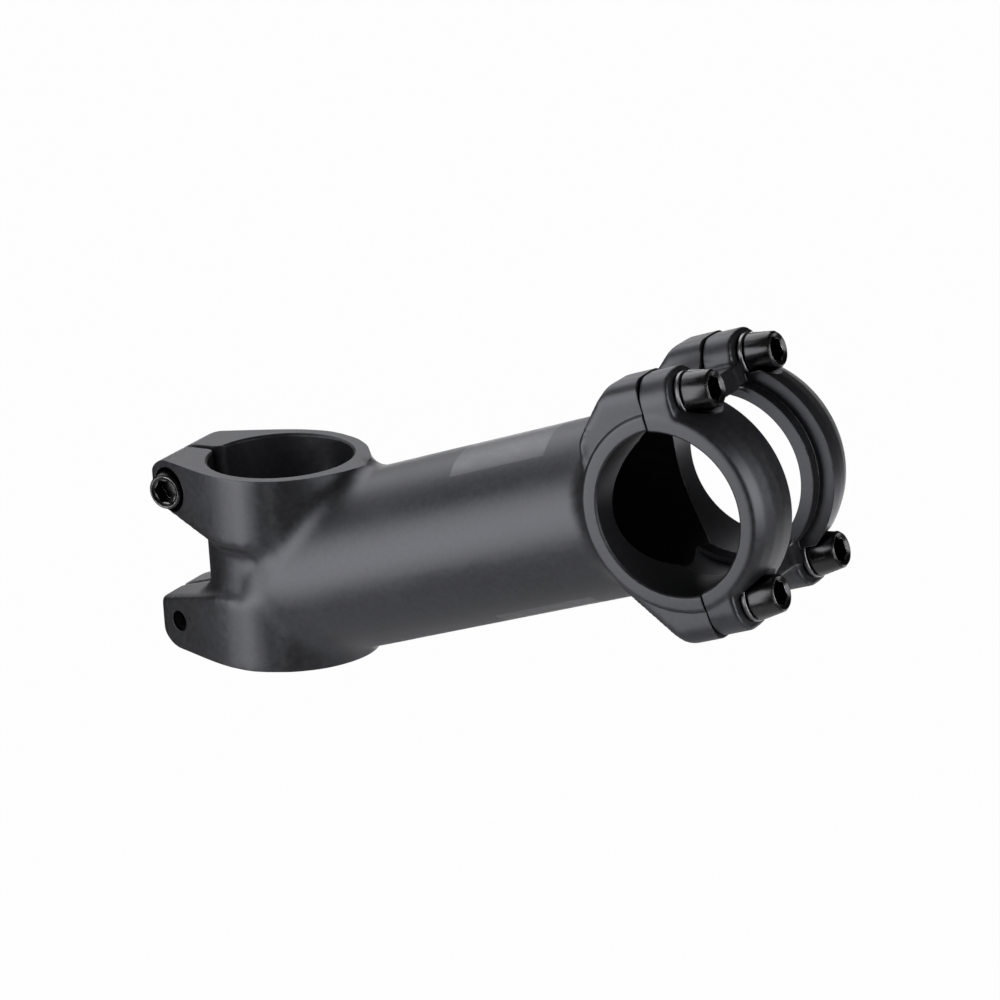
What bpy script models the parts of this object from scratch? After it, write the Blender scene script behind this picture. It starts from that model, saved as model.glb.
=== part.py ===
import math

import bmesh
import bpy
from mathutils import Matrix, Vector

# Handlebar stem for a bicycle. The steerer axis is +Z, its clamp stands on z = 0,
# the handlebar is towards +X and the rider's right is -Y.
MM = 0.001

# Main geometry
STEM_LENGTH = 100 * MM
RISE = math.radians(17)
TUBE_AXIS_HEIGHT = 13.9 * MM
TUBE_REAR_RADIUS = 16.9 * MM
TUBE_FRONT_RADIUS = 17.3 * MM
TUBE_HOLLOW_RADIUS = 13.9 * MM
TUBE_HOLLOW_DEPTH = 78 * MM

# Steerer clamp
STEERER_BORE_RADIUS = 14.3 * MM
CLAMP_HEIGHT = 38.8 * MM
COLLAR_RADIUS = 17 * MM
WAIST_RADIUS = 15.4 * MM
LUG_BACK = 25.4 * MM
LUG_TAPER = math.radians(22)
LUG_CORNER_RADIUS = 2.5 * MM
LUG_END_RADIUS = 5.8 * MM
END_ROUND_RELIEF = 0.05 * MM
FOOT_RELIEF = 0.3 * MM
NOTCH_MOUTH = 20.3 * MM
NOTCH_SLOPE = math.radians(15)
SLOT_WIDTH = 2 * MM

# Steerer clamp bolts, one from each side
STEERER_BOLT_X = -19.5 * MM
STEERER_BOLT_SPACING = 27.2 * MM
STEERER_SEAT = 5.7 * MM
STEERER_SEAT_RADIUS = 4.7 * MM

# Handlebar clamp, drawn in a frame on the bar axis: x along the tube, z square to it
BAR_BORE_RADIUS = 15.9 * MM
BAR_CLAMP_WIDTH = 39.4 * MM
RELIEF_RADIUS = 17.6 * MM
BODY_RING_RADIUS = 19.6 * MM
BOSS_SPACING = 26.2 * MM
BOSS_HALF_WIDTH = 6.5 * MM
BOSS_TOP = 25.7 * MM
BOSS_CORNER_RADIUS = 5.5 * MM
BOSS_EDGE_RADIUS = 2 * MM
BOSS_FLAT = 7.5 * MM
SLOPE_KNEE = 13.5 * MM
SLOPE_KNEE_HEIGHT = 19.7 * MM
SLOPE_END = 17.4 * MM
SLOPE_END_HEIGHT = 8 * MM
SPLIT_GAP = 0.4 * MM

# Faceplate: bolted up empty, its bore centre sits behind the bar axis
PLATE_SET_BACK = 3 * MM
EAR_THICKNESS = 6 * MM
ARC_RADIUS = 21.5 * MM
ARC_EDGE_RADIUS = 19 * MM
ARC_EDGE_WIDTH = 3.5 * MM
LEDGE_RADIUS = 18.4 * MM
LEDGE_WIDTH = 2.6 * MM
WINDOW_WIDTH = 13.2 * MM
BRIDGE_FRONT = 6.4 * MM
BRIDGE_TOP = 21.6 * MM
FACEPLATE_BOLT_SPACING = 39.5 * MM
FACEPLATE_SEAT_RADIUS = 5.2 * MM

# M5 bolts and washers
SHANK_RADIUS = 2.5 * MM
HOLE_RADIUS = 2.8 * MM
TAPPED_RADIUS = 2.1 * MM
HEAD_BASE_RADIUS = 4.2 * MM
HEAD_END_RADIUS = 3.5 * MM
HEAD_HEIGHT = 5.2 * MM
HEAD_CHAMFER = 0.4 * MM
SOCKET_RADIUS = 2.45 * MM
SOCKET_LOBE = 0.28 * MM
SOCKET_DEPTH = 3.2 * MM
WASHER_RADIUS = 4.35 * MM
WASHER_THICKNESS = 0.9 * MM
FACEPLATE_SHANK_LENGTH = 14 * MM
STEERER_SHANK_LENGTH = 14 * MM
HOLE_BEYOND_SHANK = 0.5 * MM
TOUCH_GAP = 0.3 * MM

ROUND_STEPS = 64
BOLT_STEPS = 24
SOCKET_STEPS = 48
OVERSIZE = 60 * MM
BORE_OVERLAP = 2 * MM
MERGE_DISTANCE = 0.01 * MM
SHARP_ANGLE = math.radians(35)

CLAMP_MIDDLE = CLAMP_HEIGHT / 2
BAR_HEIGHT = TUBE_AXIS_HEIGHT + STEM_LENGTH * math.sin(RISE)
BAR_AXIS = Vector((STEM_LENGTH * math.cos(RISE), 0, BAR_HEIGHT))
BAR_FRAME = Matrix.Translation(BAR_AXIS) @ Matrix.Rotation(-RISE, 4, "Y")

# Turns for outlines: drawn in x and z and thick along y, or drawn in y and z and thick along x
SIDE_VIEW = Matrix.Rotation(math.radians(90), 4, "X")
FRONT_VIEW = Matrix(((0, 0, 1, 0), (1, 0, 0, 0), (0, 1, 0, 0), (0, 0, 0, 1)))


def clear_scene():
    for item in list(bpy.data.objects):
        bpy.data.objects.remove(item, do_unlink=True)


def new_collection(name):
    collection = bpy.data.collections.new(name)
    bpy.context.scene.collection.children.link(collection)
    return collection


def new_material(name, colour, roughness, metallic):
    material = bpy.data.materials.new(name)
    material.use_nodes = True
    shader = material.node_tree.nodes["Principled BSDF"]
    shader.inputs["Base Color"].default_value = (*colour, 1)
    shader.inputs["Roughness"].default_value = roughness
    shader.inputs["Metallic"].default_value = metallic
    return material


def object_from_bmesh(name, shape, collection, matrix):
    mesh = bpy.data.meshes.new(name)
    shape.to_mesh(mesh)
    shape.free()
    mesh.shade_smooth()
    mesh.set_sharp_from_angle(angle=SHARP_ANGLE)
    item = bpy.data.objects.new(name, mesh)
    item.matrix_world = matrix
    collection.objects.link(item)
    return item


def as_tool(item):
    item.hide_render = True
    item.display_type = "WIRE"
    return item


def round_bar(name, radius, start, end, matrix, steps=ROUND_STEPS):
    # A cylinder along the frame's own z, from start to end
    shape = bmesh.new()
    bmesh.ops.create_cone(
        shape, cap_ends=True, segments=steps, radius1=radius, radius2=radius, depth=end - start,
        matrix=Matrix.Translation((0, 0, (start + end) / 2)))
    return as_tool(object_from_bmesh(name, shape, tools, matrix))


def block(name, low, high, matrix):
    shape = bmesh.new()
    low = Vector(low)
    high = Vector(high)
    place = Matrix.Translation((low + high) / 2) @ Matrix.Diagonal((*(high - low), 1))
    bmesh.ops.create_cube(shape, size=1, matrix=place)
    return as_tool(object_from_bmesh(name, shape, tools, matrix))


def corner_arc(before, corner, after, radius, steps=6):
    # Points of the arc that rounds one corner of an outline
    before, corner, after = Vector(before), Vector(corner), Vector(after)
    towards_before = (before - corner).normalized()
    towards_after = (after - corner).normalized()
    half_angle = towards_before.angle(towards_after) / 2
    inward = (towards_before + towards_after).normalized()
    centre = corner + inward * radius / math.sin(half_angle)
    first = corner + towards_before * radius / math.tan(half_angle) - centre
    sweep = (math.pi - 2 * half_angle) * (1 if towards_after.cross(towards_before) > 0 else -1)
    return [centre + Matrix.Rotation(sweep * step / steps, 2) @ first for step in range(steps + 1)]


def rounded_outline(corners):
    # Each corner is x, y and the radius that rounds it
    points = []
    for index, (x, y, radius) in enumerate(corners):
        before = corners[index - 1][:2]
        after = corners[(index + 1) % len(corners)][:2]
        if radius:
            points += corner_arc(before, (x, y), after, radius)
        else:
            points.append(Vector((x, y)))
    return points


def slab(name, outline, thickness, matrix):
    # A flat outline with thickness, centred on its own plane
    curve = bpy.data.curves.new(name, "CURVE")
    curve.dimensions = "2D"
    curve.fill_mode = "BOTH"
    curve.extrude = thickness / 2
    spline = curve.splines.new("POLY")
    spline.points.add(len(outline) - 1)
    for point, place in zip(spline.points, outline):
        point.co = (place[0], place[1], 0, 1)
    spline.use_cyclic_u = True
    drawn = bpy.data.objects.new(name, curve)
    tools.objects.link(drawn)
    bpy.context.view_layer.update()
    mesh = bpy.data.meshes.new_from_object(drawn.evaluated_get(bpy.context.evaluated_depsgraph_get()))
    shape = bmesh.new()
    shape.from_mesh(mesh)
    bmesh.ops.remove_doubles(shape, verts=shape.verts, dist=MERGE_DISTANCE)
    bmesh.ops.recalc_face_normals(shape, faces=shape.faces)
    bpy.data.objects.remove(drawn, do_unlink=True)
    bpy.data.curves.remove(curve)
    bpy.data.meshes.remove(mesh)
    return as_tool(object_from_bmesh(name, shape, tools, matrix))


def turned(name, profile, matrix, collection, closed, steps):
    # A profile of radius and height, listed down its outer side, turned about its own z
    shape = bmesh.new()
    verts = [shape.verts.new((radius, 0, height)) for radius, height in profile]
    for index in range(len(verts) - 1):
        shape.edges.new((verts[index], verts[index + 1]))
    if closed:
        shape.edges.new((verts[-1], verts[0]))
    item = object_from_bmesh(name, shape, collection, matrix)
    screw = item.modifiers.new("Turn", "SCREW")
    screw.steps = steps
    screw.render_steps = steps
    screw.use_merge_vertices = True
    screw.merge_threshold = MERGE_DISTANCE
    screw.use_smooth_shade = True
    return item


def combine(target, tool, operation):
    boolean = target.modifiers.new(tool.name, "BOOLEAN")
    boolean.operation = operation
    boolean.object = tool
    boolean.solver = "EXACT"


def add(target, *forms):
    for form in forms:
        combine(target, form, "UNION")


def cut(target, *cutters):
    for cutter in cutters:
        combine(target, cutter, "DIFFERENCE")


def axis_frame(origin, axis):
    turn = Vector((0, 0, 1)).rotation_difference(Vector(axis)).to_matrix().to_4x4()
    return Matrix.Translation(origin) @ turn


def collar_outline():
    # Seen from above: a circle whose tangents draw in to the square back of the lugs
    tangent = math.radians(90) + LUG_TAPER
    arc = []
    for step in range(ROUND_STEPS + 1):
        angle = tangent * (2 * step / ROUND_STEPS - 1)
        arc.append(Vector((COLLAR_RADIUS * math.cos(angle), COLLAR_RADIUS * math.sin(angle))))
    back_half = arc[-1].y - (LUG_BACK + arc[-1].x) * math.tan(LUG_TAPER)
    left = Vector((-LUG_BACK, back_half))
    right = Vector((-LUG_BACK, -back_half))
    return (arc + corner_arc(arc[-1], left, right, LUG_CORNER_RADIUS)
            + corner_arc(left, right, arc[0], LUG_CORNER_RADIUS))


def steerer_clamp():
    upright = Matrix.Translation((0, 0, CLAMP_MIDDLE))
    clamp = slab("clamp_form", collar_outline(), CLAMP_HEIGHT, upright)
    # Seen from the side, the lug ends are round about their bolts
    half_height = CLAMP_MIDDLE + END_ROUND_RELIEF
    side = rounded_outline([
        (COLLAR_RADIUS * 2, -half_height, 0), (COLLAR_RADIUS * 2, half_height, 0),
        (-LUG_BACK, half_height, LUG_END_RADIUS), (-LUG_BACK, -half_height, LUG_END_RADIUS)])
    combine(clamp, slab("lug_ends", side, OVERSIZE, upright @ SIDE_VIEW), "INTERSECT")
    # The notch between the lugs runs forward to a point, and leaves the waist standing in it
    half_mouth = NOTCH_MOUTH / 2
    back = -LUG_BACK - half_mouth / math.tan(NOTCH_SLOPE)
    half_back = half_mouth * 2
    point = back + half_back / math.tan(NOTCH_SLOPE)
    notch = slab("notch", [(back, half_back), (back, -half_back), (point, 0)], OVERSIZE, upright @ SIDE_VIEW)
    cut(notch, round_bar("waist", WAIST_RADIUS, -CLAMP_HEIGHT, CLAMP_HEIGHT, upright))
    cut(clamp, notch)
    return clamp


def boss_outline(side):
    # One column of the bar clamp seen from the front, from its lower boss to its upper one
    middle = side * BOSS_SPACING / 2
    inner = middle - BOSS_HALF_WIDTH
    outer = middle + BOSS_HALF_WIDTH
    radius = BOSS_CORNER_RADIUS
    return rounded_outline([
        (inner, -BOSS_TOP, radius), (outer, -BOSS_TOP, radius),
        (outer, BOSS_TOP, radius), (inner, BOSS_TOP, radius)])


def body_column(side):
    # A column of the body's half of the bar clamp, sloping back into the ring above and below
    name = "right" if side < 0 else "left"
    front = BOSS_FLAT / 2
    upper = [
        (-BOSS_FLAT, BOSS_TOP, BOSS_EDGE_RADIUS), (-SLOPE_KNEE, SLOPE_KNEE_HEIGHT, BOSS_CORNER_RADIUS),
        (-SLOPE_END, SLOPE_END_HEIGHT, 0)]
    lower = [(x, -z, radius) for x, z, radius in reversed(upper)]
    outline = rounded_outline([(front, -BOSS_TOP, 0), (front, BOSS_TOP, 0)] + upper + lower)
    column = slab("column_" + name, outline, OVERSIZE, BAR_FRAME @ SIDE_VIEW)
    across = slab("column_section_" + name, boss_outline(side), OVERSIZE * 2, BAR_FRAME @ FRONT_VIEW)
    combine(column, across, "INTERSECT")
    return column


def bolt_places():
    # Name, seat centre and outward direction of every bolt
    places = []
    forward = BAR_FRAME.to_3x3() @ Vector((1, 0, 0))
    for level, up in (("upper", 1), ("lower", -1)):
        for hand, side in (("right", -1), ("left", 1)):
            seat = Vector((EAR_THICKNESS, side * BOSS_SPACING / 2, up * FACEPLATE_BOLT_SPACING / 2))
            places.append(("faceplate", f"{level}_{hand}", BAR_FRAME @ seat, forward))
    for level, side in (("upper", -1), ("lower", 1)):
        height = CLAMP_MIDDLE - side * STEERER_BOLT_SPACING / 2
        seat = Vector((STEERER_BOLT_X, side * STEERER_SEAT, height))
        places.append(("steerer", level, seat, Vector((0, side, 0))))
    return places


def shank_length(place):
    return FACEPLATE_SHANK_LENGTH if place == "faceplate" else STEERER_SHANK_LENGTH


def make_body():
    tube_frame = BAR_FRAME @ Matrix.Rotation(math.radians(90), 4, "Y")
    across = BAR_FRAME @ SIDE_VIEW
    half_width = BAR_CLAMP_WIDTH / 2
    shape = bmesh.new()
    tube_end = -BODY_RING_RADIUS / 2
    tube_middle = Matrix.Translation((0, 0, (tube_end - STEM_LENGTH) / 2))
    bmesh.ops.create_cone(
        shape, cap_ends=True, segments=ROUND_STEPS, radius1=TUBE_REAR_RADIUS, radius2=TUBE_FRONT_RADIUS,
        depth=STEM_LENGTH + tube_end, matrix=tube_frame @ tube_middle)
    body = object_from_bmesh("stem_body", shape, parts, Matrix.Identity(4))

    ring = round_bar("body_ring", BODY_RING_RADIUS, -half_width, half_width, across)
    # The tube stops just short of the clamp's foot, which bears on what is below
    corner = Vector((OVERSIZE, OVERSIZE, OVERSIZE))
    upright = Matrix.Identity(4)
    cut(body, block("below_clamp", -corner, (OVERSIZE, OVERSIZE, FOOT_RELIEF), upright))
    add(body, steerer_clamp(), ring, body_column(-1), body_column(1))

    cut(body, block("ahead_of_split", (-SPLIT_GAP / 2, -OVERSIZE, -OVERSIZE), corner, BAR_FRAME))
    cut(body, round_bar("steerer_bore", STEERER_BORE_RADIUS, -OVERSIZE, OVERSIZE * 2, upright))
    cut(body, round_bar("bar_bore", BAR_BORE_RADIUS, -OVERSIZE, OVERSIZE, across))
    # Between its two bearing bands the bore is relieved as wide as the faceplate's window
    cut(body, round_bar("bore_relief", RELIEF_RADIUS, -WINDOW_WIDTH / 2, WINDOW_WIDTH / 2, across))
    cut(body, round_bar("hollow", TUBE_HOLLOW_RADIUS, -TUBE_HOLLOW_DEPTH, 0, tube_frame))
    half_slot = SLOT_WIDTH / 2
    slot_end = (-STEERER_BORE_RADIUS / 2, half_slot, OVERSIZE)
    cut(body, block("slot", (-OVERSIZE, -half_slot, -OVERSIZE), slot_end, upright))
    for place, name, seat, outward in bolt_places():
        frame = axis_frame(seat, outward)
        if place == "steerer":
            # The hole goes on through the far lug at its tapped size
            cut(body, round_bar("seat_" + name, STEERER_SEAT_RADIUS, 0, OVERSIZE, frame, BOLT_STEPS))
            cut(body, round_bar("tapped_" + name, TAPPED_RADIUS, -OVERSIZE, 0, frame, BOLT_STEPS))
        depth = shank_length(place) + HOLE_BEYOND_SHANK
        cut(body, round_bar(f"{place}_hole_{name}", HOLE_RADIUS, -depth, OVERSIZE / 4, frame, BOLT_STEPS))
    return body


def plate_arc(side):
    # One arc of the faceplate, turned about the bar: edge bevel, outer band, step and ledge
    outer = BAR_CLAMP_WIDTH / 2
    inner = WINDOW_WIDTH / 2
    step = inner + LEDGE_WIDTH
    inside_bore = BAR_BORE_RADIUS - BORE_OVERLAP
    profile = [
        (ARC_EDGE_RADIUS, outer), (ARC_RADIUS, outer - ARC_EDGE_WIDTH), (ARC_RADIUS, step),
        (LEDGE_RADIUS, step), (LEDGE_RADIUS, inner), (inside_bore, inner), (inside_bore, outer)]
    lean = Matrix.Rotation(math.radians(-90 * side), 4, "X")
    frame = BAR_FRAME @ Matrix.Translation((-PLATE_SET_BACK, 0, 0)) @ lean
    name = "arc_right" if side < 0 else "arc_left"
    return as_tool(turned(name, profile, frame, tools, True, ROUND_STEPS))


def make_faceplate():
    half_window = WINDOW_WIDTH / 2
    bridge_half = half_window + LEDGE_WIDTH
    shape = bmesh.new()
    place = Matrix.Diagonal((BRIDGE_FRONT * 2, bridge_half * 2, BRIDGE_TOP * 2, 1))
    bmesh.ops.create_cube(shape, size=1, matrix=place)
    plate = object_from_bmesh("faceplate", shape, parts, BAR_FRAME)
    for side in (-1, 1):
        name = "ears_right" if side < 0 else "ears_left"
        ears = slab(name, boss_outline(side), EAR_THICKNESS * 2, BAR_FRAME @ FRONT_VIEW)
        add(plate, ears, plate_arc(side))
    corner = Vector((OVERSIZE, OVERSIZE, OVERSIZE))
    cut(plate, block("behind_split", -corner, (SPLIT_GAP / 2, OVERSIZE, OVERSIZE), BAR_FRAME))
    bore_frame = BAR_FRAME @ Matrix.Translation((-PLATE_SET_BACK, 0, 0)) @ SIDE_VIEW
    cut(plate, round_bar("plate_bore", BAR_BORE_RADIUS, -OVERSIZE, OVERSIZE, bore_frame))
    cut(plate, round_bar("plate_relief", RELIEF_RADIUS, -half_window, half_window, bore_frame))
    for place, name, seat, outward in bolt_places():
        if place == "faceplate":
            frame = axis_frame(seat, outward)
            cut(plate, round_bar("plate_seat_" + name, FACEPLATE_SEAT_RADIUS, 0, OVERSIZE, frame, BOLT_STEPS))
            reach = OVERSIZE / 4
            cut(plate, round_bar("plate_hole_" + name, HOLE_RADIUS, -reach, reach, frame, BOLT_STEPS))
    return plate


def socket_outline():
    # Six round lobes
    points = []
    for step in range(SOCKET_STEPS):
        angle = 2 * math.pi * step / SOCKET_STEPS
        radius = SOCKET_RADIUS + SOCKET_LOBE * math.cos(6 * angle)
        points.append((radius * math.cos(angle), radius * math.sin(angle)))
    return points


def make_bolt(place, name, seat, outward):
    # Its origin is on the bolt's axis, under the head
    length = shank_length(place)
    profile = [
        (0, HEAD_HEIGHT), (HEAD_END_RADIUS - HEAD_CHAMFER, HEAD_HEIGHT),
        (HEAD_END_RADIUS, HEAD_HEIGHT - HEAD_CHAMFER), (HEAD_BASE_RADIUS, HEAD_CHAMFER),
        (HEAD_BASE_RADIUS, 0), (SHANK_RADIUS, 0), (SHANK_RADIUS, HEAD_CHAMFER - length),
        (SHANK_RADIUS - HEAD_CHAMFER, -length), (0, -length)]
    lift = TOUCH_GAP + WASHER_THICKNESS + TOUCH_GAP
    frame = axis_frame(seat + outward * lift, outward)
    bolt = turned(f"{place}_bolt_{name}", profile, frame, parts, False, BOLT_STEPS)
    head_end = frame @ Matrix.Translation((0, 0, HEAD_HEIGHT))
    cut(bolt, slab(f"socket_{place}_{name}", socket_outline(), SOCKET_DEPTH * 2, head_end))
    return bolt


def make_washer(place, name, seat, outward):
    top = WASHER_THICKNESS
    profile = [(WASHER_RADIUS, top), (WASHER_RADIUS, 0), (HOLE_RADIUS, 0), (HOLE_RADIUS, top)]
    frame = axis_frame(seat + outward * TOUCH_GAP, outward)
    return turned(f"{place}_washer_{name}", profile, frame, parts, True, BOLT_STEPS)


clear_scene()
parts = new_collection("handlebar_stem")
tools = new_collection("cutters")

anodised = new_material("black_anodised_aluminium", (0.035, 0.035, 0.038), 0.55, 0.6)
bolt_black = new_material("black_bolt_steel", (0.012, 0.012, 0.013), 0.25, 0.9)
washer_steel = new_material("black_washer_steel", (0.03, 0.03, 0.032), 0.35, 0.9)

make_body().data.materials.append(anodised)
make_faceplate().data.materials.append(anodised)
for bolt_place in bolt_places():
    make_bolt(*bolt_place).data.materials.append(bolt_black)
    make_washer(*bolt_place).data.materials.append(washer_steel)
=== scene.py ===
import math

import bmesh
import bpy
from mathutils import Matrix, Vector, geometry


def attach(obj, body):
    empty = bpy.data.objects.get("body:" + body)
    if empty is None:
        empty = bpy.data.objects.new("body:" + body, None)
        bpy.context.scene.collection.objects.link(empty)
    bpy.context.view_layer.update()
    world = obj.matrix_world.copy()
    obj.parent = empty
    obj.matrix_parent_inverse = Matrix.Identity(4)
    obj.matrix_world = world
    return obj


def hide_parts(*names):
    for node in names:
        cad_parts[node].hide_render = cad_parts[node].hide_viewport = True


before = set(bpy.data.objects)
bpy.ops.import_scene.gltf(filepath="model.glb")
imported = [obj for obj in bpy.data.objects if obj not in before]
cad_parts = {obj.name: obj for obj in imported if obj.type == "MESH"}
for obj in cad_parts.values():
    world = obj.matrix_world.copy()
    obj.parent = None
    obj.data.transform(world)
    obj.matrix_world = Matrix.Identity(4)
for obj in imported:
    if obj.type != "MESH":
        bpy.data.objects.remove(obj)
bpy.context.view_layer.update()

mm = 0.001
rise = math.radians(17)
reach, rootHeight = 100, 13.9  # between the bores along the tube, and its height on the steerer's axis
barAxis = Vector((reach * math.cos(rise), 0, rootHeight + reach * math.sin(rise))) * mm
barFrame = Matrix.Translation(barAxis) @ Matrix.Rotation(-rise, 4, "Y")  # x along the tube, z square to it
tubeFrame = barFrame @ Matrix.Rotation(math.radians(90), 4, "Y")  # z along the tube
sideView = Matrix.Rotation(math.radians(90), 4, "X")  # outlines in x and z, thick along y
frontView = Matrix(((0, 0, 1, 0), (1, 0, 0, 0), (0, 1, 0, 0), (0, 0, 0, 1)))  # outlines in y and z
setBack = 3  # bolted up empty, the two halves of the bar bore don't share a centre
plateFrame = barFrame @ Matrix.Translation((-setBack * mm, 0, 0))
upright = Matrix.Identity(4)
clear, far, under = 40, 60, -20  # millimetres, past the sides, the ends and the underside of the object
holeSteps, boltSteps, seatSteps, tubeSteps, boreSteps = 32, 48, 64, 96, 128  # facets around a turned form
cleanSettings = {"merge": 0.001, "weld": 0.002, "sharp": 32}  # millimetres and degrees
print("frame loaded")


def scaled(points):
    return [tuple(value * mm for value in point) for point in points]


def addLathe(shape, profile, place, steps, closed=False):  # profile of radius and height, turned about z
    points = scaled(profile)
    verts = [shape.verts.new((radius, 0, height)) for radius, height in points]
    edges = [shape.edges.new(pair) for pair in zip(verts, verts[1:])]
    if closed:
        edges.append(shape.edges.new((verts[-1], verts[0])))
    before = set(shape.verts) - set(verts)
    bmesh.ops.spin(
        shape, geom=verts + edges, cent=(0, 0, 0), axis=(0, 0, 1), angle=math.tau, steps=steps,
        use_merge=True)
    made = [vert for vert in shape.verts if vert not in before]
    bmesh.ops.remove_doubles(shape, verts=made, dist=cleanSettings["merge"] * mm)
    made = [vert for vert in shape.verts if vert not in before]
    faces = list({face for vert in made for face in vert.link_faces})
    bmesh.ops.recalc_face_normals(shape, faces=faces)
    bmesh.ops.transform(shape, matrix=place, verts=made)


def addPrism(shape, outline, low, high, place):  # a flat outline given thickness along its own z
    verts = [shape.verts.new((x * mm, y * mm, low * mm)) for x, y in outline]
    face = shape.faces.new(verts)
    grown = bmesh.ops.extrude_face_region(shape, geom=[face])["geom"]
    top = [item for item in grown if isinstance(item, bmesh.types.BMVert)]
    bmesh.ops.translate(shape, vec=(0, 0, (high - low) * mm), verts=top)
    made = verts + top
    faces = list({face for vert in made for face in vert.link_faces})
    bmesh.ops.recalc_face_normals(shape, faces=faces)
    bmesh.ops.transform(shape, matrix=place, verts=made)


def rounded(corners, steps=10):  # each corner is x, y and the radius that rounds it
    points = []
    for index, (x, y, radius) in enumerate(corners):
        corner = Vector((x, y))
        if not radius:
            points.append(corner)
            continue
        back = (Vector(corners[index - 1][:2]) - corner).normalized()
        ahead = (Vector(corners[(index + 1) % len(corners)][:2]) - corner).normalized()
        half = back.angle(ahead) / 2
        centre = corner + (back + ahead).normalized() * radius / math.sin(half)
        first = corner + back * radius / math.tan(half) - centre
        sweep = (math.pi - 2 * half) * (1 if ahead.cross(back) > 0 else -1)
        points += [centre + Matrix.Rotation(sweep * step / steps, 2) @ first for step in range(steps + 1)]
    return points


def boxOutline(lowX, lowY, highX, highY):
    return [(lowX, lowY), (highX, lowY), (highX, highY), (lowX, highY)]


def asObject(name, data):
    item = bpy.data.objects.new(name, data)
    bpy.context.scene.collection.objects.link(item)
    return item


def meshOf(name, shape):
    mesh = bpy.data.meshes.new(name)
    shape.to_mesh(mesh)
    shape.free()
    return mesh


def evaluated(item):
    bpy.context.view_layer.update()
    return bpy.data.meshes.new_from_object(item.evaluated_get(bpy.context.evaluated_depsgraph_get()))


def carve(mesh, steps):  # Boolean steps in order, each an operation and a closed shape
    target = asObject("carving", mesh)
    tools = []
    for operation, shape in steps:
        tool = asObject("tool", meshOf("tool", shape))
        tools.append(tool)
        boolean = target.modifiers.new("carve", "BOOLEAN")
        boolean.operation = operation
        boolean.object = tool
        boolean.solver = "MANIFOLD"
    result = evaluated(target)
    for item in tools + [target]:
        bpy.data.objects.remove(item, do_unlink=True)
    return result


def ramp(value, low, high):
    return min(1, max(0, (value - low) / (high - low)))


def weigh(item, name, weight):  # a vertex group that varies along the stem
    group = item.vertex_groups.new(name=name)
    for vert in item.data.vertices:
        group.add([vert.index], weight(vert.co.x / mm), "REPLACE")
    return group.name


def formed(mesh, setUp):  # the mesh with modifiers applied
    blank = asObject("blank", mesh)
    setUp(blank)
    result = evaluated(blank)
    bpy.data.objects.remove(blank, do_unlink=True)
    return result


def forge(mesh, settings):  # one skin over all the forms, inside corners filled by growing and shrinking it
    def skin(blank):
        remesh = blank.modifiers.new("skin", "REMESH")
        remesh.mode = "VOXEL"
        remesh.voxel_size = settings["voxel"] * mm

    def move(amount):
        def setUp(blank):
            displace = blank.modifiers.new("grow", "DISPLACE")
            displace.mid_level = 0
            displace.strength = amount * mm
            displace.vertex_group = weigh(blank, "grow", settings["growth"])
            skin(blank)
        return setUp

    def soften(amount, weight):
        def setUp(blank):
            smooth = blank.modifiers.new("soften", "SMOOTH")
            smooth.factor = 0.5
            smooth.iterations = amount
            smooth.vertex_group = weigh(blank, "soften", weight)
        return setUp

    mesh = formed(mesh, skin)
    mesh = formed(mesh, move(settings["fillet"]))
    mesh = formed(mesh, move(-settings["fillet"]))
    for amount, weight in settings["softening"]:
        mesh = formed(mesh, soften(amount, weight))
    return mesh


def prism(outline, low, high, place):
    shape = bmesh.new()
    addPrism(shape, outline, low, high, place)
    return shape


def lathe(profile, place, steps=tubeSteps, closed=False):
    shape = bmesh.new()
    addLathe(shape, profile, place, steps, closed)
    return shape


def shapeOf(*meshes):
    shape = bmesh.new()
    for mesh in meshes:
        shape.from_mesh(mesh)
    return shape


def cuts(*shapes):
    return [("DIFFERENCE", shape) for shape in shapes]


def boreProfile(radius, low, high, edge, past):  # a bore with both mouths chamfered at 45 degrees
    wide = radius + edge + past
    return [
        (0, low - past), (wide, low - past), (radius, low + edge), (radius, high - edge),
        (wide, high + past), (0, high + past)]


def axisFrame(origin, axis):
    turn = Vector((0, 0, 1)).rotation_difference(axis).to_matrix().to_4x4()
    return Matrix.Translation(origin) @ turn


def finishPiece(name, mesh, node, material):
    shape = shapeOf(mesh)
    weld = cleanSettings["weld"] * mm
    bmesh.ops.remove_doubles(shape, verts=shape.verts, dist=weld)
    bmesh.ops.dissolve_degenerate(shape, edges=shape.edges, dist=weld)
    bmesh.ops.recalc_face_normals(shape, faces=shape.faces)
    clean = meshOf(name, shape)
    clean.materials.clear()
    clean.materials.append(material)
    clean.shade_smooth()
    clean.set_sharp_from_angle(angle=math.radians(cleanSettings["sharp"]))
    item = asObject(name, clean)
    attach(item, node)
    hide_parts(node)
    print("piece", name, len(clean.polygons))


boltSettings = {
    "faceplateSeat": 6, "faceplateSpread": 26.2, "faceplateRows": 39.5, "steererSeat": 5.7,
    "steererX": -19.5, "steererRows": 27.2, "middle": 19.4, "hole": 2.8, "seatAbove": 30,
    "pitch": 0.8, "threadFlat": (0.42, 0.58)}


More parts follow.
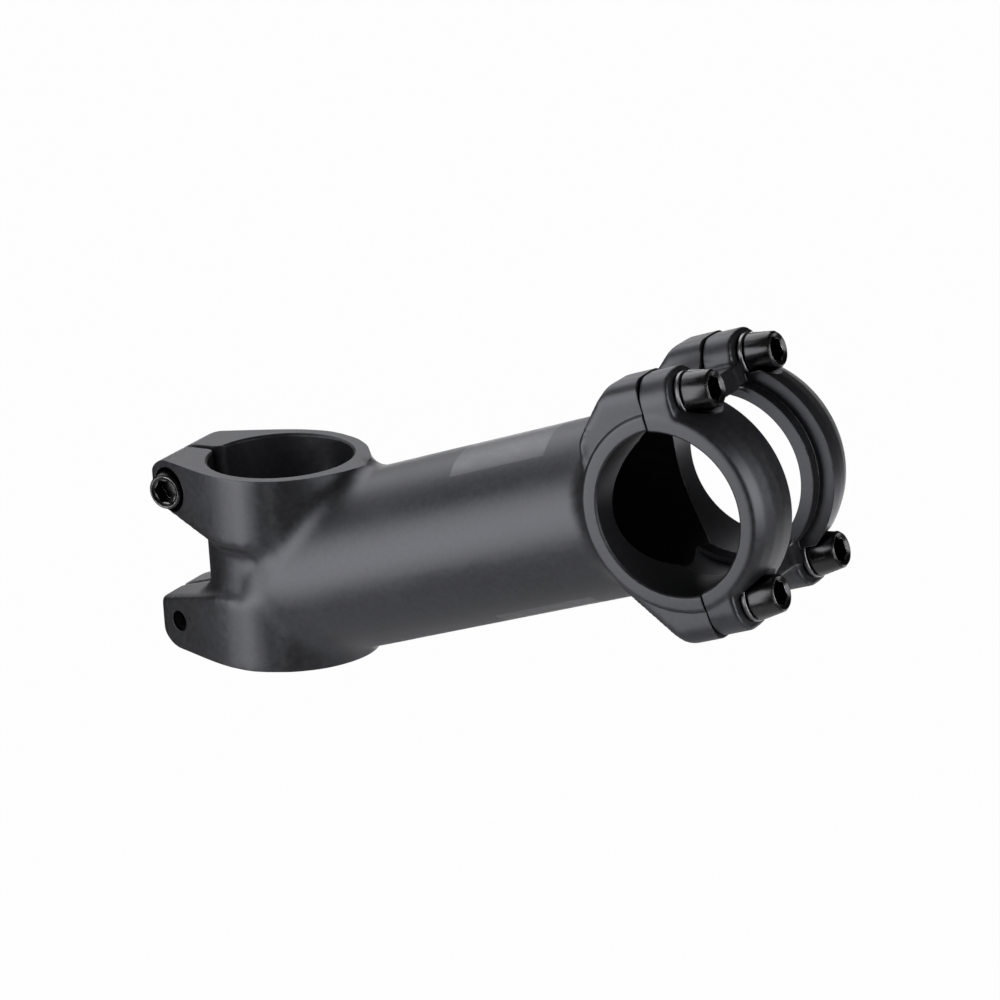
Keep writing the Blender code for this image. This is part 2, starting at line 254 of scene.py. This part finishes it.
def boltPlaces():  # kind, name, seat centre and outward direction
    places = []
    forward = barFrame.to_3x3() @ Vector((1, 0, 0))
    for level, up in (("upper", 1), ("lower", -1)):
        for hand, side in (("right", -1), ("left", 1)):
            seat = Vector((
                boltSettings["faceplateSeat"], side * boltSettings["faceplateSpread"] / 2,
                up * boltSettings["faceplateRows"] / 2)) * mm
            places.append(("faceplate", level + "_" + hand, barFrame @ seat, forward))
    for level, side in (("upper", -1), ("lower", 1)):
        height = boltSettings["middle"] - side * boltSettings["steererRows"] / 2
        seat = Vector((boltSettings["steererX"], side * boltSettings["steererSeat"], height)) * mm
        places.append(("steerer", level, seat, Vector((0, side, 0))))
    return places


def threadProfile(inner, outer, low, high):  # zigzag from high down to low
    pitch = boltSettings["pitch"]
    points = []
    height = high
    while height - pitch >= low:
        points.append((inner, height))
        points += [(outer, height - pitch * share) for share in boltSettings["threadFlat"]]
        height -= pitch
    return points + [(inner, height)]


def seatProfile(radius, edge, depth):  # a washer's seat with a clearance hole below it
    hole, above = boltSettings["hole"], boltSettings["seatAbove"]
    return [
        (0, above), (radius, above), (radius, edge), (radius - edge, 0), (hole, 0), (hole, depth),
        (0, depth)]


bodySettings = {
    "tubeRear": 17.0, "tubeFront": 17.4, "tubeEnd": -9.6, "noseEnd": -82,
    "tubeNose": [(0, -112), (8, -111), (12.5, -108), (15, -103.5), (16.3, -97), (16.8, -90)],
    "collar": 17.1, "flankStart": 72, "flankLeave": 9, "flankArrive": 12, "lugBack": 25.5, "lugTaper": 22,
    "lugReach": 4, "lugCorner": 2.5, "lugEnd": 5.8, "height": 38.8, "spare": 1.5, "topEnd": 19.5,
    "waist": 15.1, "waistBack": -0.3, "notchHalf": 5.2, "notchKnee": -7, "notchSlope": 15,
    "notchEnd": 16, "notchPast": 10,
    "ring": 19.6, "ringHalf": 19.1, "faceHalf": 19.7, "rim": 18.6, "rimSlope": 0.9, "rimRound": 0.8,
    "bossTop": 25.3, "bossHalf": 6.05, "bossCorner": 3.2, "bossFront": 5,
    "bossBack": [(-6.8, 25.3, 1.8), (-15.2, 16.9, 3), (-17.4, 8, 0)],
    "bossUnder": [(-17.4, -8, 0), (-16.7, -11.3, 4), (-6.5, -25.3, 1.8)],
    "split": -0.2, "bore": 14.3, "boreEdge": 0.45, "borePast": 6, "barBore": 15.9, "barEdge": 0.35,
    "barPast": 4, "relief": 18.2, "reliefHalf": 6.6, "reliefEdge": 0.5, "hollow": 13.9, "hollowMouth": 2,
    "hollowSide": -70, "hollowEnd": [(0, -78), (0.5, -77.2), (0.87, -74.6)],
    "slot": 2, "slotCorner": 2.5, "slotEnd": -7, "slotInside": [(-12.5, 2), (-12.5, 0)],
    "seat": 4.5, "seatEdge": 0.3, "tap": (2.6, 2.95), "plateTap": (-14, -6.7), "tapPoint": 1.2,
    "tapMouth": [(0, 5), (3.4, 5), (3.4, -5.9)], "lugTap": (-13, -6.2), "lugTapStart": -5.6,
    "endTap": (2.1, 2.4, -15.5, -13.2), "endHole": 2.2, "voxel": 0.55, "fillet": 4.5,
    "growth": lambda x: 0.32 + 0.58 * ramp(x, -1, 7) - 0.1 * ramp(x, 13, 19) + 0.2 * ramp(x, 30, 70),
    "softening": [
        (5, lambda x: 1), (4, lambda x: ramp(x, -17, -9) * ramp(x, 62, 45)),
        (24, lambda x: ramp(x, -6, 4) * ramp(x, 27, 18))]}


def collarOutline(sizes):  # a round collar whose flanks ease into tapered lugs
    taper = math.radians(sizes["lugTaper"])
    start = math.radians(sizes["flankStart"])
    rim = sizes["collar"]
    turns = [start * step / 40 for step in range(-40, 41)]
    arc = [Vector((math.cos(turn), math.sin(turn))) * rim for turn in turns]
    tangent = taper + math.pi / 2
    half = rim * math.sin(tangent) - (sizes["lugBack"] + rim * math.cos(tangent)) * math.tan(taper)
    back = Vector((sizes["lugReach"] - sizes["lugBack"], half + sizes["lugReach"] * math.tan(taper)))
    leave = Vector((-math.sin(start), math.cos(start))) * sizes["flankLeave"]
    arrive = Vector((math.cos(taper), math.sin(taper))) * sizes["flankArrive"]
    flank = geometry.interpolate_bezier(arc[-1], arc[-1] + leave, back + arrive, back, 24)[1:]
    end, corner = -sizes["lugBack"], sizes["lugCorner"]
    corners = [(*back, 0), (end, half, corner), (end, -half, corner), (back.x, -back.y, 0)]
    other = [Vector((point.x, -point.y)) for point in reversed(flank)]
    return arc + flank + rounded(corners)[1:-1] + other


def bossOutline(sizes, side):
    top = sizes["bossTop"]
    middle = side * boltSettings["faceplateSpread"] / 2
    corners = boxOutline(middle - sizes["bossHalf"], -top, middle + sizes["bossHalf"], top)
    return rounded([(x, y, sizes["bossCorner"]) for x, y in corners])


def notchShape(sizes):  # a wedge cut into the back of the clamp, around the waist
    middle = sizes["height"] / 2
    half = sizes["notchHalf"]
    back = -sizes["lugBack"] - sizes["notchPast"]
    knee, end = sizes["notchKnee"], sizes["notchEnd"]
    halfBack = half + (knee - back) * math.tan(math.radians(sizes["notchSlope"]))
    outline = [
        (back, middle + halfBack), (back, middle - halfBack), (knee, middle - half), (end, middle - half),
        (end, middle + half), (knee, middle + half)]
    notch = meshOf("notch", prism(outline, -clear, clear, sideView))
    column = Matrix.Translation((sizes["waistBack"] * mm, 0, 0))
    waist = lathe([(0, under), (sizes["waist"], under), (sizes["waist"], far), (0, far)], column)
    return shapeOf(carve(notch, cuts(waist)))


def bodyBlank(sizes):
    spare = sizes["spare"]
    collar = meshOf("collar", prism(collarOutline(sizes), -spare, sizes["height"] + spare, upright))
    collar = carve(collar, cuts(notchShape(sizes)))

    forms = bmesh.new()
    tube = sizes["tubeNose"] + [(sizes["tubeRear"], sizes["noseEnd"])]
    tube += [(sizes["tubeFront"], sizes["tubeEnd"]), (0, sizes["tubeEnd"])]
    addLathe(forms, tube, tubeFrame, tubeSteps)
    half = sizes["ringHalf"]
    ring = [(0, -half), (sizes["ring"], -half), (sizes["ring"], half), (0, half)]
    addLathe(forms, ring, barFrame @ sideView, tubeSteps)
    front = [(sizes["bossFront"], -sizes["bossTop"], 0), (sizes["bossFront"], sizes["bossTop"], 0)]
    outline = rounded(front + sizes["bossBack"] + sizes["bossUnder"])
    bosses = []
    for side in (-1, 1):
        boss = meshOf("boss", prism(outline, -clear, clear, barFrame @ sideView))
        across = prism(bossOutline(sizes, side), -far, far, barFrame @ frontView)
        bosses.append(carve(boss, [("INTERSECT", across)]))
    return meshOf("blank", shapeOf(collar, meshOf("forms", forms), *bosses))


def reliefProfile(sizes):  # the bore is relieved between its two bearing bands
    half = sizes["reliefHalf"]
    depth = sizes["relief"]
    edge = sizes["reliefEdge"]
    return [
        (0, -half), (depth - edge, -half), (depth, edge - half), (depth, half - edge), (depth - edge, half),
        (0, half)]


def slotCorner(sizes, side):  # rounds the corner where the slot opens into the bore
    radius = sizes["slotCorner"]
    low = sizes["slot"] / 2 + radius
    centre = Vector((-math.sqrt((sizes["bore"] + radius) ** 2 - low ** 2), low))
    first = Vector((0, -radius))
    sweep = first.angle_signed(-centre) * -1
    arc = [centre + Matrix.Rotation(sweep * step / 8, 2) @ first for step in range(9)]
    return [(x, side * y) for x, y in arc + sizes["slotInside"] + [(centre.x, 0)]]


def rimShape(sizes):  # the raised rim beside the bar bore, with its edge sloped
    half = sizes["faceHalf"]
    outer = sizes["rim"]
    slope = sizes["rimSlope"]
    profile = rounded([
        (0, -half, 0), (outer, -half, sizes["rimRound"]), (outer + slope, slope - half, 0),
        (outer + slope, half - slope, 0), (outer, half, sizes["rimRound"]), (0, half, 0)], 6)
    return lathe(profile, barFrame @ sideView, boreSteps)


def endCuts(sizes):  # flat ends on the steerer clamp, with the lugs' corners rounded
    top = sizes["height"]
    back = -sizes["lugBack"]
    middle = top / 2
    lug = rounded([(back, middle, 0), (back, top, sizes["lugEnd"]), (middle, top, 0)], 16)[1:-1]
    above = [(-clear, lug[0].y)] + lug + [(sizes["topEnd"], top), (sizes["topEnd"], far), (-clear, far)]
    below = [(far if x == sizes["topEnd"] else x, top - z) for x, z in above]
    return [prism(outline, -clear, clear, sideView) for outline in (above, below)]


def boltHoles(sizes):  # tapped holes behind the faceplate, and seats and tapped holes across the lugs
    holes = []
    for kind, name, seat, outward in boltPlaces():
        place = axisFrame(seat, outward)
        if kind == "faceplate":
            thread = threadProfile(*sizes["tap"], *sizes["plateTap"])
            profile = sizes["tapMouth"] + thread + [(0, thread[-1][1] - sizes["tapPoint"])]
        else:
            seatCut = seatProfile(sizes["seat"], sizes["seatEdge"], -boltSettings["steererSeat"])
            holes.append(lathe(seatCut, place, seatSteps))
            thread = threadProfile(*sizes["tap"], *sizes["lugTap"]) + threadProfile(*sizes["endTap"])
            profile = [(0, sizes["lugTapStart"])] + thread + [(sizes["endHole"], -clear), (0, -clear)]
        holes.append(lathe(profile, place, holeSteps))
    return holes


def makeBody(material):
    sizes = bodySettings
    mesh = forge(bodyBlank(sizes), sizes)
    print("body forged", len(mesh.polygons))
    across = barFrame @ sideView
    half = sizes["faceHalf"]
    hollow, mouth = sizes["hollow"], sizes["hollowMouth"]
    hollowProfile = [(hollow * share, depth) for share, depth in sizes["hollowEnd"]]
    hollowProfile += [(hollow, sizes["hollowSide"]), (hollow, mouth), (0, mouth)]
    bore = boreProfile(sizes["bore"], 0, sizes["height"], sizes["boreEdge"], sizes["borePast"])
    barBore = boreProfile(sizes["barBore"], -half, half, sizes["barEdge"], sizes["barPast"])
    slotHalf = sizes["slot"] / 2
    steps = [("UNION", rimShape(sizes))]
    steps += cuts(prism(boxOutline(sizes["split"], -clear, clear, clear), -clear, clear, across))
    steps += cuts(*endCuts(sizes), lathe(bore, upright, boreSteps), lathe(barBore, across, boreSteps))
    steps += cuts(lathe(reliefProfile(sizes), across, boreSteps), lathe(hollowProfile, tubeFrame))
    steps += cuts(prism(boxOutline(-clear, -slotHalf, sizes["slotEnd"], slotHalf), under, far, upright))
    steps += cuts(*(prism(slotCorner(sizes, side), under, far, upright) for side in (-1, 1)))
    steps += cuts(*boltHoles(sizes))
    mesh = carve(mesh, steps)
    finishPiece("stemBody", mesh, "stem_body", material)


plateSettings = {
    "bore": 15.9, "boreEdge": 0.35, "borePast": 4, "half": 19.7, "arc": 21.5, "arcInside": 13,
    "crown": [(18.6, 19.7), (19.1, 19.35), (20.1, 17.6), (20.9, 15), (21.35, 12.2)],
    "ledge": 18.4, "ledgeStart": 6.45, "ledgeWidth": 2.6, "window": 6.6, "back": -4, "split": 0.2,
    "ear": 6, "bossTop": 25.1, "bossHalf": 6.4, "bossCorner": 5.2, "bridgeFront": 6.4, "bridgeTop": 19.7,
    "relief": 18, "reliefHalf": 6.6, "reliefEdge": 0.5, "seat": 4.6, "seatEdge": 0.5, "holeDepth": -12,
    "voxel": 0.32, "fillet": 0.6, "growth": lambda x: 1, "softening": [(2, lambda x: 1)]}


def ledgeShape(sizes):  # a step beside the window, from the bridges' front onward
    half = sizes["window"] + sizes["ledgeWidth"]
    ring = [(sizes["ledge"], -half), (clear, -half), (clear, half), (sizes["ledge"], half)]
    behind = prism(boxOutline(-far, -far, sizes["ledgeStart"], far), -clear, clear, barFrame @ sideView)
    ledge = meshOf("ledge", lathe(ring, plateFrame @ sideView, boreSteps, True))
    return shapeOf(carve(ledge, cuts(behind)))


def makeFaceplate(material):
    sizes = plateSettings
    half = sizes["half"]
    bridgeHalf = sizes["window"] + sizes["ledgeWidth"]
    arc, inside, window = sizes["arc"], sizes["arcInside"], sizes["window"]
    profile = sizes["crown"] + [(arc, bridgeHalf), (arc, window), (inside, window), (inside, half)]
    forms = bmesh.new()
    for side in (-1, 1):
        addPrism(forms, bossOutline(sizes, side), sizes["back"], sizes["ear"], barFrame @ frontView)
        lean = Matrix.Rotation(math.radians(-90 * side), 4, "X")
        addLathe(forms, profile, plateFrame @ lean, boreSteps, True)
    bridges = boxOutline(-bridgeHalf, -sizes["bridgeTop"], bridgeHalf, sizes["bridgeTop"])
    addPrism(forms, bridges, sizes["back"], sizes["bridgeFront"], barFrame @ frontView)
    mesh = forge(meshOf("plateForms", forms), sizes)
    print("faceplate forged", len(mesh.polygons))
    across = plateFrame @ sideView
    wide = boxOutline(-far, -clear, far, clear)
    bore = boreProfile(sizes["bore"], -half, half, sizes["boreEdge"], sizes["borePast"])
    behind = prism(boxOutline(-far, -clear, sizes["split"], clear), -clear, clear, barFrame @ sideView)
    steps = cuts(
        ledgeShape(sizes), behind, prism(wide, half, clear, across), prism(wide, -clear, -half, across),
        lathe(bore, across, boreSteps), lathe(reliefProfile(sizes), across, boreSteps))
    seatCut = seatProfile(sizes["seat"], sizes["seatEdge"], sizes["holeDepth"])
    for kind, name, seat, outward in boltPlaces():
        if kind == "faceplate":
            steps += cuts(lathe(seatCut, axisFrame(seat, outward), seatSteps))
    mesh = carve(mesh, steps)
    finishPiece("frontPlate", mesh, "faceplate", material)


boltShape = {
    "headBase": 4.2, "headEnd": 3.5, "headHeight": 5.2, "chamfer": 0.35, "bend": (0.06, 0.3),
    "foot": [(0, 0.45), (0.1, 0.12), (0.35, 0)], "neck": [(2.6, 0), (2.4, -0.25)], "lift": 1.5,
    "length": 14, "crest": 2.48, "root": 2.12, "threadStart": -1.2, "tip": 1.9, "tipLength": 0.8,
    "socket": 2.3, "lobes": 6, "lobe": 0.17, "depth": 3.2,
    "mouth": 3, "mouthInside": 2.42, "mouthDepth": 0.45, "mouthPast": 1}


def socketOutline(sizes):
    points = []
    for step in range(96):
        angle = math.tau * step / 96
        radius = sizes["socket"] + sizes["lobe"] * math.cos(sizes["lobes"] * angle)
        points.append((radius * math.cos(angle), radius * math.sin(angle)))
    return points


def makeBolt(kind, name, seat, outward, material):
    sizes = boltShape
    place = axisFrame(seat + outward * sizes["lift"] * mm, outward)
    top, length = sizes["headHeight"], sizes["length"]
    end, base, chamfer = sizes["headEnd"], sizes["headBase"], sizes["chamfer"]
    bendOut, bendDown = sizes["bend"]
    shoulder = top - chamfer
    profile = [(0, top), (end - chamfer, top), (end, shoulder), (end + bendOut, shoulder - bendDown)]
    profile += [(base - inset, height) for inset, height in sizes["foot"]] + sizes["neck"]
    threadEnd = sizes["tipLength"] - length
    profile += threadProfile(sizes["crest"], sizes["root"], threadEnd, sizes["threadStart"])
    profile += [(sizes["tip"], -length), (0, -length)]
    mesh = meshOf("bolt", lathe(profile, place, boltSteps))
    rim, inside = sizes["mouth"], sizes["mouthInside"]
    floor, past = top - sizes["mouthDepth"], sizes["mouthPast"]
    mouth = [(0, top + past), (rim + past, top + past), (rim, top), (inside, floor), (0, floor)]
    socket = prism(socketOutline(sizes), top - sizes["depth"], top + 2 * past, place)
    mesh = carve(mesh, cuts(socket, lathe(mouth, place, boltSteps)))
    finishPiece(kind + "Bolt_" + name, mesh, kind + "_bolt_" + name, material)


washerShape = {"outer": 4.35, "inner": 2.8, "thick": 0.9, "edge": 0.15, "innerEdge": 0.1, "lift": 0.3}


def makeWasher(kind, name, seat, outward, material):
    sizes = washerShape
    outer, inner, thick = sizes["outer"], sizes["inner"], sizes["thick"]
    edge, innerEdge = sizes["edge"], sizes["innerEdge"]
    profile = [
        (outer, thick - edge), (outer, edge), (outer - edge, 0), (inner + innerEdge, 0), (inner, innerEdge),
        (inner, thick - innerEdge), (inner + innerEdge, thick), (outer - edge, thick)]
    place = axisFrame(seat + outward * sizes["lift"] * mm, outward)
    mesh = meshOf("washer", lathe(profile, place, seatSteps, True))
    finishPiece(kind + "Washer_" + name, mesh, kind + "_washer_" + name, material)


grainSettings = {
    "noise": {"Grain": (4200, 2), "Speckle": (900, 3), "Mottle": (55, 2)},  # scale and detail
    "blend": 0.5, "low": 0.35, "high": 0.65, "bumpDepth": 0.02, "edge": 0.28, "edgeSamples": 6,
    "edgeStart": 0.99, "edgeFull": 0.9, "wearLow": 0.4, "wearHigh": 0.7}


def newGroup(name, outputs):
    group = bpy.data.node_groups.new(name, "ShaderNodeTree")
    for label, kind in outputs:
        group.interface.new_socket(label, in_out="OUTPUT", socket_type=kind)
    return group, group.nodes.new("NodeGroupOutput")


def noiseNode(tree, coordinates, scale, detail):
    noise = tree.nodes.new("ShaderNodeTexNoise")
    noise.inputs["Scale"].default_value = scale
    noise.inputs["Detail"].default_value = detail
    tree.links.new(coordinates, noise.inputs["Vector"])
    return noise.outputs[0]


def mathNode(tree, operation, *values):
    node = tree.nodes.new("ShaderNodeMath")
    node.operation = operation
    for socket, value in zip(node.inputs, values):
        if isinstance(value, (int, float)):
            socket.default_value = value
        else:
            tree.links.new(value, socket)
    return node.outputs[0]


def spanNode(tree, value, low, high, newLow, newHigh):
    node = tree.nodes.new("ShaderNodeMapRange")
    for label, number in zip(("From Min", "From Max", "To Min", "To Max"), (low, high, newLow, newHigh)):
        node.inputs[label].default_value = number
    tree.links.new(value, node.inputs["Value"])
    return node.outputs["Result"]


def mixNode(tree, share, first, second):
    node = tree.nodes.new("ShaderNodeMix")
    node.data_type = "RGBA"
    for socket, value in zip((node.inputs[0], node.inputs[6], node.inputs[7]), (share, first, second)):
        if isinstance(value, tuple):
            socket.default_value = (*value, 1)
        else:
            tree.links.new(value, socket)
    return node.outputs[2]


def makeGrainGroup():  # blasted surface at three sizes of grain
    noises = grainSettings["noise"]
    group, output = newGroup("blastedGrain", [(label, "NodeSocketFloat") for label in noises])
    coordinates = group.nodes.new("ShaderNodeTexCoord").outputs["Object"]
    for label, (scale, detail) in noises.items():
        group.links.new(noiseNode(group, coordinates, scale, detail), output.inputs[label])
    return group


def makeEdgeGroup():  # rounds the shading over crisp edges and finds where they are
    finish = grainSettings
    group, output = newGroup("softEdges", [("Normal", "NodeSocketVector"), ("Edge", "NodeSocketFloat")])
    bevel = group.nodes.new("ShaderNodeBevel")
    bevel.samples = finish["edgeSamples"]
    bevel.inputs["Radius"].default_value = finish["edge"] * mm
    surface = group.nodes.new("ShaderNodeNewGeometry")
    dot = group.nodes.new("ShaderNodeVectorMath")
    dot.operation = "DOT_PRODUCT"
    group.links.new(bevel.outputs[0], dot.inputs[0])
    group.links.new(surface.outputs["Normal"], dot.inputs[1])
    group.links.new(bevel.outputs[0], output.inputs["Normal"])
    found = spanNode(group, dot.outputs["Value"], finish["edgeStart"], finish["edgeFull"], 0, 1)
    group.links.new(found, output.inputs["Edge"])
    return group


panelSettings = {"middle": -39.55, "half": 10.75, "angle": 35.5, "inside": 15.2}


def makePanelGroup():  # two satin rectangles, above and below the tube
    sizes = panelSettings
    group, output = newGroup("tubePanels", [("Mask", "NodeSocketFloat")])
    coordinates = group.nodes.new("ShaderNodeTexCoord").outputs["Object"]
    offset = group.nodes.new("ShaderNodeVectorMath")
    offset.operation = "SUBTRACT"
    offset.inputs[1].default_value = barAxis
    group.links.new(coordinates, offset.inputs[0])
    parts = []
    for axis in ((1, 0, 0), (0, 1, 0), (0, 0, 1)):
        dot = group.nodes.new("ShaderNodeVectorMath")
        dot.operation = "DOT_PRODUCT"
        dot.inputs[1].default_value = barFrame.to_3x3() @ Vector(axis)
        group.links.new(offset.outputs[0], dot.inputs[0])
        parts.append(dot.outputs["Value"])
    along, side, height = parts
    level = mathNode(group, "ABSOLUTE", height)
    inLength = mathNode(group, "COMPARE", along, sizes["middle"] * mm, sizes["half"] * mm)
    angle = mathNode(group, "ARCTAN2", side, level)
    inAngle = mathNode(group, "COMPARE", angle, 0, math.radians(sizes["angle"]))
    squares = (mathNode(group, "POWER", part, 2) for part in (side, level))
    radius = mathNode(group, "SQRT", mathNode(group, "ADD", *squares))
    outside = mathNode(group, "GREATER_THAN", radius, sizes["inside"] * mm)
    mask = mathNode(group, "MULTIPLY", mathNode(group, "MULTIPLY", inLength, inAngle), outside)
    group.links.new(mask, output.inputs["Mask"])
    return group


def groupNode(tree, group):
    node = tree.nodes.new("ShaderNodeGroup")
    node.node_tree = group
    return node


def metalMaterial(name, look, groups):  # grain in colour, roughness and bump, with worn edges
    finish = grainSettings
    material = bpy.data.materials.new(name)
    material.use_nodes = True
    tree = material.node_tree
    shader = tree.nodes["Principled BSDF"]
    shader.inputs["Metallic"].default_value = look["metallic"]
    grain = groupNode(tree, groups["grain"])
    edges = groupNode(tree, groups["edge"])
    speckle = grain.outputs["Speckle"]
    part = mathNode(tree, "MULTIPLY", speckle, finish["blend"])
    blend = mathNode(tree, "MULTIPLY_ADD", grain.outputs["Mottle"], finish["blend"], part)
    low, high = finish["low"], finish["high"]
    colour = mixNode(tree, spanNode(tree, blend, low, high, 0, 1), look["dark"], look["light"])
    roughness = spanNode(tree, blend, low, high, look["smooth"], look["rough"])
    if "panel" in look:
        panel = groupNode(tree, groups["panel"]).outputs["Mask"]
        colour = mixNode(tree, panel, colour, look["panel"])
        roughness = mathNode(tree, "MULTIPLY_ADD", panel, look["panelRoughness"], roughness)
    wear = spanNode(tree, speckle, finish["wearLow"], finish["wearHigh"], 0, look["wear"])
    rubbed = mathNode(tree, "MULTIPLY", edges.outputs["Edge"], wear)
    tree.links.new(mixNode(tree, rubbed, colour, look["worn"]), shader.inputs["Base Color"])
    tree.links.new(roughness, shader.inputs["Roughness"])
    bump = tree.nodes.new("ShaderNodeBump")
    bump.inputs["Strength"].default_value = look["bump"]
    bump.inputs["Distance"].default_value = finish["bumpDepth"] * mm
    tree.links.new(grain.outputs["Grain"], bump.inputs["Height"])
    tree.links.new(edges.outputs["Normal"], bump.inputs["Normal"])
    tree.links.new(bump.outputs["Normal"], shader.inputs["Normal"])
    return material


looks = {
    "blackAnodised": {
        "metallic": 1, "dark": (0.073, 0.074, 0.081), "light": (0.097, 0.098, 0.108), "smooth": 0.4,
        "rough": 0.5, "worn": (0.2, 0.2, 0.2), "wear": 0.5, "bump": 0.35, "panel": (0.113, 0.114, 0.123),
        "panelRoughness": -0.06},
    "boltBlack": {
        "metallic": 1, "dark": (0.05, 0.05, 0.052), "light": (0.065, 0.065, 0.068), "smooth": 0.2,
        "rough": 0.3, "worn": (0.6, 0.6, 0.6), "wear": 0.9, "bump": 0.06},
    "washerBlack": {
        "metallic": 1, "dark": (0.26, 0.26, 0.27), "light": (0.34, 0.34, 0.35), "smooth": 0.25,
        "rough": 0.4, "worn": (0.35, 0.35, 0.35), "wear": 0.6, "bump": 0.12}}
shared = {"grain": makeGrainGroup(), "edge": makeEdgeGroup(), "panel": makePanelGroup()}
anodised, boltSteel, washerSteel = (metalMaterial(name, look, shared) for name, look in looks.items())
print("materials made")

makeBody(anodised)
makeFaceplate(anodised)
for boltPlace in boltPlaces():
    makeBolt(*boltPlace, boltSteel)
    makeWasher(*boltPlace, washerSteel)
print("pieces made")


stageSettings = {
    "floor": -0.45, "size": 6, "paper": 0.9, "paperRoughness": 0.9, "world": 0.015, "white": 0.985,
    "mirrored": 0.03, "lampDistance": 0.6}


def whiteShare(tree):  # white to the camera and through glass, faint in metal
    path = tree.nodes.new("ShaderNodeLightPath")
    mirrored = mathNode(tree, "MULTIPLY", path.outputs["Is Glossy Ray"], stageSettings["mirrored"])
    seen = mathNode(tree, "MAXIMUM", path.outputs["Is Camera Ray"], path.outputs["Is Transmission Ray"])
    return mathNode(tree, "MULTIPLY_ADD", seen, stageSettings["white"], mirrored)


def mixShaders(tree, first, second, target):
    mix = tree.nodes.new("ShaderNodeMixShader")
    tree.links.new(whiteShare(tree), mix.inputs[0])
    tree.links.new(first.outputs[0], mix.inputs[1])
    tree.links.new(second.outputs[0], mix.inputs[2])
    tree.links.new(mix.outputs[0], target.inputs["Surface"])


def makeStage():
    shape = bmesh.new()
    bmesh.ops.create_grid(shape, x_segments=8, y_segments=8, size=stageSettings["size"])
    bmesh.ops.translate(shape, vec=(0, 0, stageSettings["floor"]), verts=shape.verts)
    floor = asObject("floor", meshOf("floor", shape))
    paper = bpy.data.materials.new("paleFloor")
    paper.use_nodes = True
    nodes = paper.node_tree.nodes
    matte = nodes["Principled BSDF"]
    matte.inputs["Base Color"].default_value = (*[stageSettings["paper"]] * 3, 1)
    matte.inputs["Roughness"].default_value = stageSettings["paperRoughness"]
    mixShaders(paper.node_tree, matte, nodes.new("ShaderNodeEmission"), nodes["Material Output"])
    floor.data.materials.append(paper)

    world = bpy.data.worlds.new("studio")
    bpy.context.scene.world = world
    world.use_nodes = True
    nodes = world.node_tree.nodes
    soft = nodes["Background"]
    soft.inputs["Color"].default_value = (1, 1, 1, 1)
    soft.inputs["Strength"].default_value = stageSettings["world"]
    white = nodes.new("ShaderNodeBackground")
    white.inputs["Color"].default_value = (1, 1, 1, 1)
    mixShaders(world.node_tree, soft, white, nodes["World Output"])


lamps = {
    "key": {"azimuth": 326, "elevation": 4, "width": 0.5, "height": 0.66, "power": 3.1},
    "backLeft": {"azimuth": 228, "elevation": 40, "width": 0.5, "height": 0.45, "power": 1.5},
    "left": {"azimuth": 275, "elevation": 40, "width": 0.3, "height": 0.3, "power": 0.2},
    "right": {"azimuth": 84, "elevation": 9, "width": 0.4, "height": 0.5, "power": 2.1},
    "rim": {"azimuth": 152, "elevation": -32, "width": 0.35, "height": 0.3, "power": 0.4},
    "back": {"azimuth": 200, "elevation": -14, "width": 0.5, "height": 0.4, "power": 1.4}}


def direction(azimuth, elevation):  # azimuth 0 is the front, at -y, and 90 is +x
    azimuth, elevation = math.radians(azimuth), math.radians(elevation)
    level = math.cos(elevation)
    return Vector((math.sin(azimuth) * level, -math.cos(azimuth) * level, math.sin(elevation)))


def makeLamp(name, azimuth, elevation, width, height, power):
    data = bpy.data.lights.new(name, "AREA")
    data.shape = "RECTANGLE"
    data.size = width
    data.size_y = height
    data.energy = power
    lamp = asObject(name, data)
    toward = direction(azimuth, elevation)
    lamp.location = Vector(viewSettings["target"]) + toward * stageSettings["lampDistance"]
    lamp.rotation_euler = (-toward).to_track_quat("-Z", "Y").to_euler()
    lamp.visible_camera = False


viewSettings = {
    "azimuth": 29.525, "elevation": 17.8, "roll": -3.323, "distance": 0.8678, "lens": 164.39, "sensor": 36,
    "near": 0.01, "target": (0.048488, 0, 0.034733)}


def makeCamera():
    view = viewSettings
    roll = math.radians(view["roll"])
    back = direction(view["azimuth"], view["elevation"])
    level = direction(view["azimuth"] + 90, 0)
    plumb = back.cross(level)
    right = level * math.cos(roll) + plumb * math.sin(roll)
    up = back.cross(right)
    data = bpy.data.cameras.new("camera")
    data.lens = view["lens"]
    data.sensor_width = view["sensor"]
    data.clip_start = view["near"]
    camera = asObject("camera", data)
    turn = Matrix((right, up, back)).transposed().to_4x4()
    camera.matrix_world = Matrix.Translation(Vector(view["target"]) + back * view["distance"]) @ turn
    bpy.context.scene.camera = camera


makeStage()
for lampName, lampSettings in lamps.items():
    makeLamp(lampName, **lampSettings)
makeCamera()
bpy.context.scene.view_settings.view_transform = "Standard"
print("stage set")
